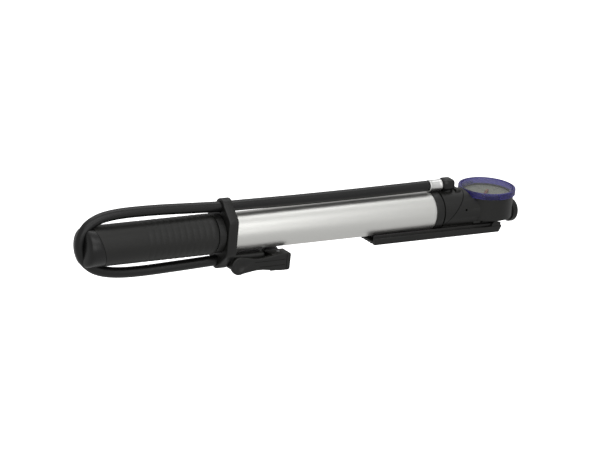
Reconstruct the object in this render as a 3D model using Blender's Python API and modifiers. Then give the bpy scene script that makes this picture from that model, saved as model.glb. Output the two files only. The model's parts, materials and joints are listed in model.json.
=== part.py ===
"""Mini pump: a hand pump for bicycle tyres with a fold-out foot, a pressure gauge and a hose that
wraps round its handle.

The pump lies along X: the handle points to -X, the gauge head to +X and the gauge looks up, +Z.
Lengths are written in millimetres on the pump's own axis (X = 0 where the barrel enters the head,
Z = 0 on the barrel's centre line), and the empty "pump" carries that axis to its place: the origin
is the middle of the foot plate's flat underside.
"""

import math

import bmesh
import bpy
from mathutils import Matrix, Vector

MM = 0.001
GAP = 0.3                      # running gap between two separate pieces

# --- driving dimensions ---------------------------------------------------------------------------
BARREL_R = 12.0
BORE_R = 10.5
BARREL_START, BARREL_END = -149.5, 5.0
COLLAR = (-152.3, -145.5)      # from, to along X
HANDLE_END = -251.0
GRIP_R = 12.75
ROD_R = 5.0
STROKE = 108.0                 # how far the handle pulls out
HOSE_R = 3.5
GAUGE_X = 43.4
HOUSING_R = 17.0
HOUSING_BOTTOM, HOUSING_TOP = -5.9, 8.2
CAP_R = 18.1
CAP_TOP = 12.2
KNOB_Z, KNOB_R, KNOB_END = -5.3, 7.25, 65.1
FOOT = (-44.2, 49.3)
FOOT_BOTTOM = -15.1
FOOT_HALF = 12.0
FOOT_HINGE = (45.0, -10.8)     # X, Z of the foot's pin
LEVER_PIN = (-111.3, -6.4)     # X, Y of the lever's pin
VALVE_Z = -20.0                # height of the valve's own axis
VALVE_MOUTH_R = 7.5
LEVER_TOP, LEVER_BOTTOM = -13.4, -24.6
OUTLET_Z = 16.2                # height of the hose where it leaves the head

# The hose's centre line in the X-Z plane, from the head over the handle's end to the valve head.
HOSE_ROUTE = (
    (-1.4, 16.2), (-8.0, 16.2), (-24.0, 16.1), (-60.0, 16.0), (-100.0, 16.2), (-135.0, 16.7),
    (-149.0, 16.9), (-173.0, 18.0), (-196.0, 19.1), (-217.0, 19.4), (-229.5, 18.7), (-238.0, 16.9),
    (-244.6, 13.2), (-248.3, 7.6), (-249.2, 1.0), (-246.9, -6.2), (-241.9, -11.8), (-234.3, -15.9),
    (-222.0, -18.4), (-205.0, -19.1), (-180.0, -18.5), (-160.0, -17.8), (-149.0, -17.4),
    (-143.5, -17.4), (-140.6, -17.4),
)

# --- scene and collections ------------------------------------------------------------------------
for old in list(bpy.data.objects):
    bpy.data.objects.remove(old, do_unlink=True)

parts = bpy.data.collections.new("mini_pump")
cutters = bpy.data.collections.new("cutters")
bpy.context.scene.collection.children.link(parts)
bpy.context.scene.collection.children.link(cutters)


def empty(name, at, parent=None):
    """An empty at a point in millimetres, in its parent's frame."""
    obj = bpy.data.objects.new(name, None)
    obj.empty_display_size = 0.01
    obj.location = Vector(at) * MM
    obj.parent = parent
    parts.objects.link(obj)
    return obj


FOOT_MIDDLE = (FOOT[0] + FOOT[1]) / 2
pump = empty("pump", (-FOOT_MIDDLE, 0, -FOOT_BOTTOM))
plunger_axis = empty("plunger_axis", (COLLAR[0], 0, 0), pump)
foot_axis = empty("foot_axis", (FOOT_HINGE[0], 0, FOOT_HINGE[1]), pump)
lever_axis = empty("lever_axis", (*LEVER_PIN, 0), pump)
needle_axis = empty("needle_axis", (GAUGE_X, 0, 0), pump)
check_axis = empty("check_valve_axis", (-5, 0, 0), pump)


# --- materials ------------------------------------------------------------------------------------
def material(name, colour, roughness, metallic=0.0, alpha=1.0):
    mat = bpy.data.materials.new(name)
    mat.use_nodes = True
    shader = mat.node_tree.nodes["Principled BSDF"]
    shader.inputs["Base Color"].default_value = (*colour, 1)
    shader.inputs["Roughness"].default_value = roughness
    shader.inputs["Metallic"].default_value = metallic
    shader.inputs["Alpha"].default_value = alpha
    return mat


satin_aluminium = material("satin_aluminium", (0.80, 0.81, 0.82), 0.32, 1.0)
polished_aluminium = material("polished_aluminium", (0.86, 0.87, 0.88), 0.18, 1.0)
steel = material("steel", (0.62, 0.63, 0.65), 0.30, 1.0)
brass = material("brass", (0.72, 0.53, 0.24), 0.32, 1.0)
black_nylon = material("black_nylon", (0.035, 0.036, 0.034), 0.48)
black_gloss = material("black_gloss", (0.028, 0.028, 0.030), 0.30)
grip_rubber = material("grip_rubber", (0.030, 0.030, 0.028), 0.62)
hose_rubber = material("hose_rubber", (0.022, 0.022, 0.023), 0.42)
seal_rubber = material("seal_rubber", (0.018, 0.018, 0.018), 0.60)
blue_clear = material("blue_clear", (0.10, 0.09, 0.45), 0.08, 0.0, 0.6)
lens_clear = material("lens_clear", (0.90, 0.92, 0.93), 0.05, 0.0, 0.3)
dial_grey = material("dial_grey", (0.42, 0.43, 0.40), 0.60)
needle_red = material("needle_red", (0.55, 0.05, 0.04), 0.45)


# --- helpers --------------------------------------------------------------------------------------
def from_bmesh(name, bm):
    """A new object from a bmesh in millimetres, its faces turned outwards."""
    bmesh.ops.scale(bm, vec=(MM, MM, MM), verts=bm.verts)
    bmesh.ops.recalc_face_normals(bm, faces=bm.faces)
    mesh = bpy.data.meshes.new(name)
    bm.to_mesh(mesh)
    bm.free()
    return bpy.data.objects.new(name, mesh)


def block(name, low, high):
    """A box between two corners."""
    bm = bmesh.new()
    size = [b - a for a, b in zip(low, high)]
    bmesh.ops.create_cube(bm, size=1)
    bmesh.ops.scale(bm, vec=size, verts=bm.verts)
    bmesh.ops.translate(bm, vec=[(a + b) / 2 for a, b in zip(low, high)], verts=bm.verts)
    return from_bmesh(name, bm)


TURN = {"X": ("Y", math.radians(90)), "Y": ("X", math.radians(-90)), "Z": ("Z", 0.0)}


def rod(name, axis, radius, start, end, centre=(0, 0), sides=32):
    """A round bar along an axis; centre gives its other two coordinates, in X, Y, Z order."""
    bm = bmesh.new()
    bmesh.ops.create_cone(bm, cap_ends=True, segments=sides, radius1=radius, radius2=radius,
                          depth=end - start)
    around, angle = TURN[axis]
    bmesh.ops.rotate(bm, verts=bm.verts, matrix=Matrix.Rotation(angle, 3, around))
    middle = (start + end) / 2
    place = list(centre)
    place.insert("XYZ".index(axis), middle)
    bmesh.ops.translate(bm, vec=place, verts=bm.verts)
    return from_bmesh(name, bm)


def turned(name, profile, axis="X", centre=(0, 0), steps=32):
    """A turned piece: (along, radius) points spun round an axis.

    The points run from the far end of the axis down the outer side, and a piece with a bore comes
    back up its inner side to the first point.
    """
    mesh = bpy.data.meshes.new(name)
    points = [(radius * MM, 0, along * MM) for along, radius in profile]
    edges = [(i, i + 1) for i in range(len(points) - 1)]
    if min(radius for _, radius in profile) > 0:
        edges.append((len(points) - 1, 0))
    mesh.from_pydata(points, edges, [])
    obj = bpy.data.objects.new(name, mesh)
    spin = obj.modifiers.new("spin", "SCREW")
    spin.steps = steps
    spin.render_steps = steps
    spin.use_merge_vertices = True
    spin.merge_threshold = 0.00005
    around, angle = TURN[axis]
    if around != "Z":
        obj.rotation_euler["XYZ".index(around)] = angle
    place = list(centre)
    place.insert("XYZ".index(axis), 0)
    obj.location = Vector(place) * MM
    return obj


def to_mesh(obj):
    """A curve or a modified object made a plain welded mesh, in the same place."""
    parts.objects.link(obj)
    bpy.context.view_layer.update()
    evaluated = obj.evaluated_get(bpy.context.evaluated_depsgraph_get())
    mesh = bpy.data.meshes.new_from_object(evaluated)
    bm = bmesh.new()
    bm.from_mesh(mesh)
    bmesh.ops.remove_doubles(bm, verts=bm.verts, dist=0.00001)
    bmesh.ops.recalc_face_normals(bm, faces=bm.faces)
    bm.to_mesh(mesh)
    bm.free()
    made = bpy.data.objects.new(obj.name, mesh)
    made.matrix_world = obj.matrix_world.copy()
    name = obj.name
    bpy.data.objects.remove(obj, do_unlink=True)
    made.name = name
    return made


PLANE = {"XZ": (math.radians(90), 0, 0), "YZ": (math.radians(90), 0, math.radians(90)),
         "XY": (0, 0, 0)}


def plate(name, outlines, low, high, plane):
    """Flat outlines, holes among them, given a thickness from low to high across their plane."""
    curve = bpy.data.curves.new(name, "CURVE")
    curve.dimensions = "2D"
    curve.fill_mode = "BOTH"
    curve.extrude = (high - low) / 2 * MM
    for outline in outlines:
        spline = curve.splines.new("POLY")
        spline.points.add(len(outline) - 1)
        for point, (a, b) in zip(spline.points, outline):
            point.co = (a * MM, b * MM, 0, 1)
        spline.use_cyclic_u = True
    obj = bpy.data.objects.new(name, curve)
    obj.rotation_euler = PLANE[plane]
    across = {"XZ": 1, "YZ": 0, "XY": 2}[plane]
    obj.location[across] = (low + high) / 2 * MM
    return to_mesh(obj)


def arc(centre, radius, start, end, count):
    """Points along an arc, its angles in degrees."""
    turn = [math.radians(start + (end - start) * i / (count - 1)) for i in range(count)]
    return [(centre[0] + radius * math.cos(t), centre[1] + radius * math.sin(t)) for t in turn]


def circle(centre, radius, count=28):
    return arc(centre, radius, 0, 360 - 360 / count, count)


def smooth_path(points, count):
    """A Catmull-Rom curve through points, read at evenly spaced places along its length."""
    knots = [Vector(p) for p in points]
    knots = [2 * knots[0] - knots[1], *knots, 2 * knots[-1] - knots[-2]]
    fine = []
    for a, b, c, d in zip(knots, knots[1:], knots[2:], knots[3:]):
        for i in range(20):
            t = i / 20
            fine.append(0.5 * (2 * b + (c - a) * t + (2 * a - 5 * b + 4 * c - d) * t ** 2
                               + (3 * b - a - 3 * c + d) * t ** 3))
    fine.append(knots[-2])
    reach = [0.0]
    for a, b in zip(fine, fine[1:]):
        reach.append(reach[-1] + (b - a).length)
    path, j = [], 0
    for i in range(count):
        target = reach[-1] * i / (count - 1)
        while j < len(reach) - 2 and reach[j + 1] < target:
            j += 1
        share = (target - reach[j]) / (reach[j + 1] - reach[j])
        path.append(fine[j].lerp(fine[j + 1], min(1.0, share)))
    return path


def tube(name, path, radii, resolution=2):
    """A round tube along a path, its radius given at each point."""
    curve = bpy.data.curves.new(name, "CURVE")
    curve.dimensions = "3D"
    curve.bevel_depth = MM
    curve.bevel_resolution = resolution
    curve.use_fill_caps = True
    curve.twist_mode = "MINIMUM"
    spline = curve.splines.new("POLY")
    spline.points.add(len(path) - 1)
    for point, place, radius in zip(spline.points, path, radii):
        point.co = (*(Vector(place) * MM), 1)
        point.radius = radius
    return bpy.data.objects.new(name, curve)


def bevel(obj, width, segments=2, angle=40):
    edge = obj.modifiers.new("rounded_edges", "BEVEL")
    edge.width = width * MM
    edge.segments = segments
    edge.limit_method = "ANGLE"
    edge.angle_limit = math.radians(angle)
    return obj


def combine(obj, operation, others):
    """Boolean modifiers that join other solids to a piece or cut them from it."""
    for other in others:
        cutters.objects.link(other)
        other.parent = pump
        other.hide_render = True
        other.display_type = "WIRE"
        step = obj.modifiers.new(operation.lower(), "BOOLEAN")
        step.operation = operation
        step.solver = "EXACT"
        step.object = other
    return obj


def join(obj, *others):
    return combine(obj, "UNION", others)


def cut(obj, *others):
    return combine(obj, "DIFFERENCE", others)


def add(obj, finish, carrier=pump):
    """Puts a finished piece in the pump: its material, its shading and what carries it."""
    obj.data.materials.clear()
    obj.data.materials.append(finish)
    if obj.name not in parts.objects:
        parts.objects.link(obj)
    if carrier is not pump:
        obj.location -= carrier.location
    obj.parent = carrier
    if obj.type == "MESH":
        obj.data.shade_smooth()
        obj.data.set_sharp_from_angle(angle=math.radians(35))
    return obj


# --- barrel ---------------------------------------------------------------------------------------
def ring_profile(start, end, outer, inner):
    return [(end, outer), (start, outer), (start, inner), (end, inner)]


def make_barrel():
    add(turned("barrel_tube", ring_profile(BARREL_START, BARREL_END, BARREL_R, BORE_R), steps=44),
        satin_aluminium)
    ring = [(5.2, 12.55), (0.3, 12.55), (0, 12.45), (0, BARREL_R + 0.2), (5.2, BARREL_R + 0.2)]
    add(turned("end_ring", ring, steps=44), black_nylon)
    guide = [(-136.0, BORE_R - GAP), (-149.8, BORE_R - GAP), (-149.8, BARREL_R - 0.1), (-152.0, BARREL_R - 0.1), (-152.0, ROD_R + GAP),
             (-136.0, ROD_R + GAP)]
    add(turned("rod_guide", guide, steps=28), black_nylon)
    add(turned("rod_seal", ring_profile(-135.7, -133.7, BORE_R - GAP, ROD_R + GAP)), seal_rubber)


COLLAR_HALF = 13.5             # the collar's flat front strap stands this far from the axis
UPPER_HOSE, LOWER_HOSE = 16.9, -17.4
LOOP_R = 5.3                   # outside of the loop over the hose
HOSE_HOLE_R = HOSE_R + GAP


def make_collar():
    """The hoop on the barrel's rod end, with a loop for the hose above and below."""
    top = arc((0, UPPER_HOSE), LOOP_R, 20, 160, 9)
    bottom = arc((0, LOWER_HOSE), LOOP_R, 200, 340, 9)
    side = 9.5                 # half height of the straight strap
    outline = [(COLLAR_HALF, -side), (COLLAR_HALF, side), *top, (-COLLAR_HALF, side),
               (-COLLAR_HALF, -side), *bottom]
    holes = [circle((0, 0), BARREL_R + GAP, 48), circle((0, UPPER_HOSE), HOSE_HOLE_R, 20),
             circle((0, LOWER_HOSE), HOSE_HOLE_R, 20)]
    add(plate("hose_collar", [outline, *holes], *COLLAR, "YZ"), black_nylon)


# --- head -----------------------------------------------------------------------------------------
NECK_R = 12.4
SLEEVE_INNER = 11.6
NECK_START = 6.2
SEAM_TOP, SEAM_BOTTOM = 25.5, 9.5       # where the sleeve's slanting edge meets the neck
CHAMBER_R = 5.4                         # check valve's chamber
PASSAGE_R = 2.0


def behind_seam(name, shift):
    """A solid filling everything on the gauge side of the neck sleeve's slanting edge."""
    reach = 14.0
    slope = (SEAM_TOP - SEAM_BOTTOM) / (2 * NECK_R)
    middle = (SEAM_TOP + SEAM_BOTTOM) / 2 + shift
    corners = [(middle - slope * reach, -reach), (80, -reach), (80, reach),
               (middle + slope * reach, reach)]
    return plate(name, [corners], -30, 30, "XZ")


def make_head():
    spigot = [(30, 0), (30, SLEEVE_INNER - GAP), (NECK_START - 0.4, SLEEVE_INNER - GAP),
              (NECK_START - 0.4, BORE_R - GAP), (-9, BORE_R - GAP), (-9, 0)]
    body = turned("head_body", spigot, steps=40)
    neck = rod("neck_solid", "X", NECK_R, NECK_START, 34, sides=40)
    combine(neck, "INTERSECT", [behind_seam("neck_front", GAP)])
    housing = rod("housing_solid", "Z", HOUSING_R, HOUSING_BOTTOM, HOUSING_TOP, (GAUGE_X, 0), 48)
    saddle = bevel(block("saddle_solid", (NECK_START, -8.9, -13.0), (48.0, 8.9, -4.0)), 1.2, 2)
    lug = bevel(block("lug_solid", (28.6, -10.6, -8.7), (34.6, 10.6, -3.0)), 0.8, 1)
    seat = rod("knob_seat_solid", "X", 6.4, 50, 60.2, (0, KNOB_Z), 32)
    join(body, neck, housing, saddle, lug, seat)
    room = rod("cap_room", "Z", CAP_R + 0.6, HOUSING_TOP, 30, (GAUGE_X, 0), 48)
    cup = rod("gauge_cup", "Z", 15.6, 0.5, 20, (GAUGE_X, 0), 48)
    chamber = rod("valve_chamber", "X", CHAMBER_R, -12, 0.5, sides=28)
    passage = rod("air_passage", "X", PASSAGE_R, -1, 34.8, sides=16)
    gauge_way = rod("gauge_way", "Z", 2.5, -1.5, 3, (33.2, 0), 20)
    outlet = rod("outlet_way", "Z", 4.3, -0.5, 14, (12.7, 0), 24)
    knob_bore = rod("knob_bore", "X", 4.9, 51.5, 70, (0, KNOB_Z), 28)
    pin_hole = rod("pin_hole", "Y", 1.7, -20, 20, FOOT_HINGE, 20)
    cut(body, room, cup, chamber, passage, gauge_way, outlet, knob_bore, pin_hole)
    add(body, black_nylon)

    sleeve = rod("neck_sleeve", "X", NECK_R, NECK_START, 30, sides=40)
    lip = bevel(block("lip_solid", (14.5, -4.6, 10.5), (21.2, 4.6, 13.4)), 0.8, 2)
    join(sleeve, lip)
    inside = rod("sleeve_bore", "X", SLEEVE_INNER, 0, 40, sides=40)
    saddle_room = block("saddle_room", (0, -9.2, -20), (60, 9.2, -3.7))
    spigot_room = rod("spigot_room", "Z", 4.3, 5, 30, (12.7, 0), 24)
    elbow_room = block("elbow_room", (8.0, -5.0, 12.6), (18.3, 5.0, 22.0))
    cut(sleeve, inside, behind_seam("sleeve_end", 0), saddle_room, spigot_room, elbow_room)
    add(sleeve, black_nylon)


def make_outlet():
    """The elbow that turns the air from the head into the hose, and the hose's crimped ferrule."""
    body = bevel(block("hose_elbow", (8.3, -4.7, 12.9), (18.0, 4.7, 20.0)), 1.3, 3)
    spigot = rod("elbow_spigot", "Z", 3.9, 2.0, 15.0, (12.7, 0), 26)
    barb = rod("elbow_barb", "X", 1.6, 3.5, 9.0, (0, OUTLET_Z), 20)
    join(body, spigot, barb)
    groove = turned("elbow_groove", ring_profile(5.2, 6.8, 6, 3.0), "Z", (12.7, 0), 28)
    across = rod("elbow_across", "X", 0.7, 0, 12.7, (0, OUTLET_Z), 16)
    down = rod("elbow_down", "Z", 1.0, 0, 16.9, (12.7, 0), 16)
    cut(body, groove, across, down)
    add(body, black_gloss)
    add(turned("elbow_seal", ring_profile(5.5, 6.5, 4.1, 3.3), "Z", (12.7, 0), 28), seal_rubber)
    ferrule = [(7.9, 3.6), (7.4, 3.6), (0.2, 3.5), (-1.0, 3.6), (-1.0, 3.1), (7.9, 3.1)]
    add(turned("hose_ferrule", ferrule, centre=(0, OUTLET_Z), steps=32), polished_aluminium)


def make_hose():
    path = smooth_path([(x, 0, z) for x, z in HOSE_ROUTE], 60)
    add(tube("hose", path, [HOSE_R] * len(path), 2), hose_rubber)


# --- check valve ----------------------------------------------------------------------------------
def make_check_valve():
    """Air pushed down the barrel lifts the disc off its seat, and the spring puts it back."""
    seat = [(-7.0, CHAMBER_R - GAP), (-9.3, CHAMBER_R - GAP), (-9.3, 9.8), (-11.3, 9.8), (-11.3, 2.0),
            (-7.0, 2.0)]
    add(turned("valve_seat", seat, steps=32), brass)
    disc = [(-4.8, 0), (-4.8, 1.5), (-5.2, 4.2), (-6.7, 4.2), (-6.7, 0)]
    add(turned("valve_disc", disc, steps=28), seal_rubber, check_axis)
    turns, wire, radius = 4, 0.35, 3.3
    start, end = -4.1, 0.0
    count = turns * 10 + 1
    coil = []
    for i in range(count):
        angle = math.tau * turns * i / (count - 1)
        coil.append((start + (end - start) * i / (count - 1), radius * math.cos(angle),
                     radius * math.sin(angle)))
    add(tube("valve_spring", coil, [wire] * count, 1), steel, check_axis)


# --- gauge ----------------------------------------------------------------------------------------
DIAL_Z = 7.6


def make_gauge():
    socket = rod("gauge_socket", "Z", 2.2, -1.2, 4.6, (33.2, 0), 20)
    join(socket, block("socket_block", (31.0, -3.0, 0.8), (35.6, 3.0, 4.8)))
    cut(socket, rod("socket_bore", "Z", 0.8, -3, 4.0, (33.2, 0), 12))
    add(socket, brass)
    spring = []
    for i in range(25):
        turn = math.radians(212 + 250 * i / 24)
        spring.append((GAUGE_X + 12.2 * math.cos(turn), 12.2 * math.sin(turn), 3.2))
    add(tube("bourdon_tube", spring, [1.0] * len(spring), 2), brass)
    frame = block("gauge_movement", (GAUGE_X - 6, -5, 0.8), (GAUGE_X + 6, 5, 6.6))
    slot = block("movement_slot", (GAUGE_X - 5, -8, 2.2), (GAUGE_X + 5, 8, 5.2))
    cut(frame, slot, rod("arbor_hole", "Z", 0.9, 1.2, 9, (GAUGE_X, 0), 16))
    add(frame, brass)
    add(turned("gauge_dial", ring_profile(DIAL_Z - 0.7, DIAL_Z, 15.2, 1.0), "Z", (GAUGE_X, 0), 48),
        dial_grey)
    arbor = [(9.3, 0), (9.3, 0.6), (1.5, 0.6), (1.5, 0)]
    add(turned("needle_arbor", arbor, "Z", (GAUGE_X, 0), 12), brass, needle_axis)
    hand = [(-3.8, -0.9), (0, -1.1), (12.0, -0.25), (12.0, 0.25), (0, 1.1), (-3.8, 0.9)]
    hub = circle((0, 0), 0.9, 16)
    zero = math.radians(225)
    turn = [[(x * math.cos(zero) - y * math.sin(zero) + GAUGE_X,
              x * math.sin(zero) + y * math.cos(zero)) for x, y in line] for line in (hand, hub)]
    add(plate("gauge_needle", turn, DIAL_Z + 0.6, DIAL_Z + 1.0, "XY"), needle_red, needle_axis)

    cap = turned("gauge_cap", [(CAP_TOP, 16.4), (CAP_TOP, 17.3), (CAP_TOP - 0.7, CAP_R),
                               (8.5, CAP_R), (8.5, 16.4)], "Z", (GAUGE_X, 0), 48)
    for name, middle, spread in (("lug_left", 250, 34), ("lug_right", 318, 34),
                                 ("lug_back", 110, 34)):
        start, end = middle - spread / 2, middle + spread / 2
        outline = [*arc((GAUGE_X, 0), 16.9, start, end, 8), *arc((GAUGE_X, 0), 14.4, end, start, 8)]
        join(cap, plate(name, [outline], 8.5, 10.5, "XY"))
    add(cap, blue_clear)
    add(turned("gauge_lens", [(12.0, 0), (12.0, 16.1), (10.9, 16.1), (10.9, 0)], "Z", (GAUGE_X, 0),
               48), lens_clear)


# --- end plug -------------------------------------------------------------------------------------
def make_end_plug():
    plug = [(KNOB_END, 0), (KNOB_END, 4.6), (KNOB_END - 0.9, 6.3), (KNOB_END - 2.2, KNOB_R),
            (60.5, KNOB_R), (60.5, 4.6), (56.2, 4.6), (56.2, 3.6), (54.6, 3.6), (54.6, 4.6),
            (52.0, 4.6), (52.0, 0)]
    add(turned("end_plug", plug, centre=(0, KNOB_Z), steps=40), black_gloss)
    add(turned("plug_seal", ring_profile(54.9, 55.9, 4.75, 3.9), centre=(0, KNOB_Z), steps=28),
        seal_rubber)


# --- foot -----------------------------------------------------------------------------------------
def make_foot():
    """A channel that hugs the barrel when folded, with stepped side walls and a treaded sole."""
    wall, step = 9.2, 10.6
    half = [(FOOT_HALF - 0.6, FOOT_BOTTOM), (FOOT_HALF, FOOT_BOTTOM + 0.6), (FOOT_HALF, -10.7),
            (step, -10.7), (step, -9.0), (wall, -9.0), (wall, -13.4)]
    outline = half + [(-y, z) for y, z in reversed(half)]
    foot = plate("foot_plate", [outline], *FOOT, "YZ")
    ears = rod("ear_solid", "Y", 3.1, -FOOT_HALF + 0.2, FOOT_HALF - 0.2, FOOT_HINGE, 28)
    join(foot, ears)
    between = block("between_ears", (40.5, -wall, -20), (60, wall, -5))
    heel = plate("heel_cut", [[(46.8, -16), (52, -16), (52, -9), (FOOT[1], -10.7)]], -15, 15, "XZ")
    hole = rod("foot_pin_hole", "Y", 1.7, -20, 20, FOOT_HINGE, 20)
    cut(foot, between, heel, hole)
    add(foot, black_nylon, foot_axis)
    pin = rod("foot_pin", "Y", 1.4, -11.6, 11.6, FOOT_HINGE, 20)
    add(pin, steel)


# --- plunger --------------------------------------------------------------------------------------
PISTON_BACK, PISTON_FRONT = -22.5, -14.5
CAP_SEAM_TOP, CAP_SEAM_BOTTOM = -242.5, -234.5


def make_plunger():
    rod_tube = [(PISTON_BACK + 4, ROD_R - 0.05), (-226.0, ROD_R - 0.05), (-226.0, 1.8),
                (PISTON_BACK + 4, 1.8)]
    add(turned("piston_rod", rod_tube, steps=28), steel, plunger_axis)
    piston = [(PISTON_FRONT, BORE_R - 0.25), (PISTON_FRONT - 2, BORE_R - 0.25),
              (PISTON_FRONT - 2, 8.6), (PISTON_FRONT - 4.6, 8.6), (PISTON_FRONT - 4.6, BORE_R - 0.25),
              (PISTON_BACK, BORE_R - 0.25), (PISTON_BACK, ROD_R + GAP),
              (PISTON_BACK + 4.3, ROD_R + GAP), (PISTON_BACK + 4.3, 2.0), (PISTON_FRONT, 2.0)]
    add(turned("piston", piston, steps=40), black_nylon, plunger_axis)
    add(turned("piston_ring", ring_profile(PISTON_FRONT - 4.3, PISTON_FRONT - 2.3, BORE_R - 0.1, 8.9),
               steps=32), seal_rubber, plunger_axis)
    screw = [(-12.4, 0), (-12.4, 3.4), (-14.2, 3.4), (-14.2, 1.5), (-34, 1.5), (-34, 0)]
    add(turned("piston_screw", screw, steps=24), steel, plunger_axis)

    core = [(-152.6, 12.0), (-157.4, 12.0), (-157.4, 9.0), (-229.0, 9.0), (-229.0, 2.0),
            (-226.3, 2.0), (-226.3, ROD_R + GAP), (-152.6, ROD_R + GAP)]
    add(turned("handle_core", core, steps=32), black_nylon, plunger_axis)
    add(turned("handle_screw", [(-214, 0), (-214, 1.5), (-229.3, 1.5), (-229.3, 3.6), (-231.5, 3.6),
                                (-231.5, 0)], steps=24), steel, plunger_axis)
    add(make_grip(), grip_rubber, plunger_axis)
    add(make_cap(), black_gloss, plunger_axis)


def cap_side(name, shift):
    """Everything on the handle-end side of the end cap's slanting seam."""
    reach = 14.0
    slope = (CAP_SEAM_TOP - CAP_SEAM_BOTTOM) / (2 * GRIP_R)
    middle = (CAP_SEAM_TOP + CAP_SEAM_BOTTOM) / 2 + shift
    corners = [(-270, -reach), (middle - slope * reach, -reach), (middle + slope * reach, reach),
               (-270, reach)]
    return plate(name, [corners], -30, 30, "XZ")


def make_grip():
    """A rubber sleeve over the handle, cut off on the slant where the end cap begins."""
    profile = [(-157.8, GRIP_R - 0.7), (-158.6, GRIP_R), (-248.0, GRIP_R), (-248.0, 9.3),
               (-157.8, 9.3)]
    grip = turned("grip_sleeve", profile, steps=40)
    return cut(grip, cap_side("cap_room_in_grip", GAP), hose_groove("grip_groove"))


GROOVE_HALF = HOSE_R + GAP


def make_cap():
    """The rounded end of the handle, with a groove across it that holds the hose."""
    profile = [(-228.0, 0), (-228.0, GRIP_R - 0.05), (-242.0, GRIP_R - 0.05), (-245.5, 11.6),
               (-248.6, 10.0), (-250.3, 8.1), (HANDLE_END, 6.4), (HANDLE_END, 0)]
    cap = turned("handle_cap", profile, steps=40)
    combine(cap, "INTERSECT", [cap_side("cap_end", 0)])
    hollow = rod("cap_hollow", "X", 9.3, -232.5, -200, sides=32)
    return cut(cap, hose_groove("cap_groove"), hollow)


def hose_groove(name):
    """What is taken away so that the hose lies round the handle's end: all that is outside a line
    just inside the hose."""
    loop = [Vector(p) for p in HOSE_ROUTE if p[0] < -200]
    inside = []
    for before, here, after in zip(loop, loop[1:], loop[2:]):
        along = (after - before).normalized()
        inside.append(tuple(here + Vector((-along.y, along.x)) * (HOSE_R + GAP)))
    far = [p for p in inside if p[0] < -225]
    outline = [(-225, 40), (-290, 40), (-290, -40), (-225, -40), (-225, far[-1][1]), *reversed(far),
               (-225, far[0][1])]
    return plate(name, [outline], -GROOVE_HALF, GROOVE_HALF, "XZ")


# --- valve head -----------------------------------------------------------------------------------
ARM_END = -121.4


def make_valve_head():
    """A head on the hose's end: the tyre valve goes into its mouth, and the lever grips it."""
    body = bevel(block("valve_head", (-145.2, -8.6, -22.9), (ARM_END, 3.6, -13.7)), 1.5, 2)
    neck = block("neck_bar", (-124.0, -1.6, -22.6), (-108.6, 4.6, -15.7))
    barrel = rod("mouth_solid", "Y", VALVE_MOUTH_R, 2.9, 12.6, (LEVER_PIN[0], VALVE_Z), 40)
    post = block("post_solid", (LEVER_PIN[0] - 2.5, LEVER_PIN[1], -22.4),
                 (LEVER_PIN[0] + 2.5, 4.0, -15.6))
    post_nose = rod("post_nose_solid", "Z", 2.55, -22.3, -15.7, LEVER_PIN, 40)
    join(body, neck, barrel, post, post_nose)
    socket = rod("hose_socket", "X", HOSE_R + GAP, -150, -140.0, (0, LOWER_HOSE), 24)
    air = rod("valve_air", "X", 1.9, -141, -108, (0, LOWER_HOSE), 16)
    chamber = rod("grommet_room", "Y", 6.0, 4.4, 20, (LEVER_PIN[0], VALVE_Z), 36)
    inlet = rod("inlet_way", "Y", 1.6, -0.2, 6, (LEVER_PIN[0], LOWER_HOSE), 16)
    pin = rod("lever_pin_hole", "Z", 1.4, -30, -5, LEVER_PIN, 20)
    cut(body, socket, air, chamber, inlet, pin)
    add(body, black_nylon)
    add(turned("hose_barb", ring_profile(-140.3, -133.0, 1.6, 0.8), centre=(0, LOWER_HOSE), steps=16),
        brass)
    add(turned("valve_grommet", ring_profile(4.8, 10.2, 5.7, 4.0), "Y", (LEVER_PIN[0], VALVE_Z), 36),
        seal_rubber)
    nut = [(13.4, 6.8), (12.9, VALVE_MOUTH_R), (12.9, 5.7), (10.6, 5.7), (10.6, 4.2), (13.4, 4.2)]
    add(turned("nose_nut", nut, "Y", (LEVER_PIN[0], VALVE_Z), 36), black_gloss)


def make_lever():
    """The thumb lever: waisted in the middle, with two cheeks that straddle the valve head."""
    lobe = (-141.2, -18.9)
    back = -105.0
    outline = [*arc(lobe, 5.9, 70, 290, 15), (-135.0, -24.0), (-129.5, -22.8), (-124.0, -22.9),
               (-117.5, -23.9), (-110.0, LEVER_BOTTOM), (-106.0, LEVER_BOTTOM),
               (back, LEVER_BOTTOM + 1.2), (back + 0.5, LEVER_TOP - 1.5),
               (-105.5, LEVER_TOP), (-112.0, LEVER_TOP), (-118.0, -14.3), (-124.0, -15.2),
               (-130.0, -15.2), (-135.0, -14.0)]
    lever = plate("valve_lever", [outline], -12.0, -9.2, "XZ")
    for name, low, high in (("cheek_top", -15.2, LEVER_TOP), ("cheek_bottom", LEVER_BOTTOM, -22.8)):
        join(lever, block(name, (-118.6, -11.0, low), (-105.2, LEVER_PIN[1] + 4.0, high)))
    cut(lever, rod("cheek_pin_hole", "Z", 1.4, -40, 0, LEVER_PIN, 20))
    add(lever, black_nylon, lever_axis)
    add(rod("lever_pin", "Z", 1.1, -25.6, -13.5, LEVER_PIN, 20), steel)


make_barrel()
make_collar()
make_head()
make_outlet()
make_hose()
make_check_valve()
make_gauge()
make_end_plug()
make_foot()
make_plunger()
make_valve_head()
make_lever()
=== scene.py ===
# %% [markdown]
# # A mini pump, dressed
#
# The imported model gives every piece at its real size, in metres, with the pump lying along X. This
# lesson keeps the pieces that hide inside it, and remakes the ones that show, one cell at a time.

# %% The frame
import json
import math

import bmesh
import bpy
from mathutils import Matrix, Vector


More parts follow.
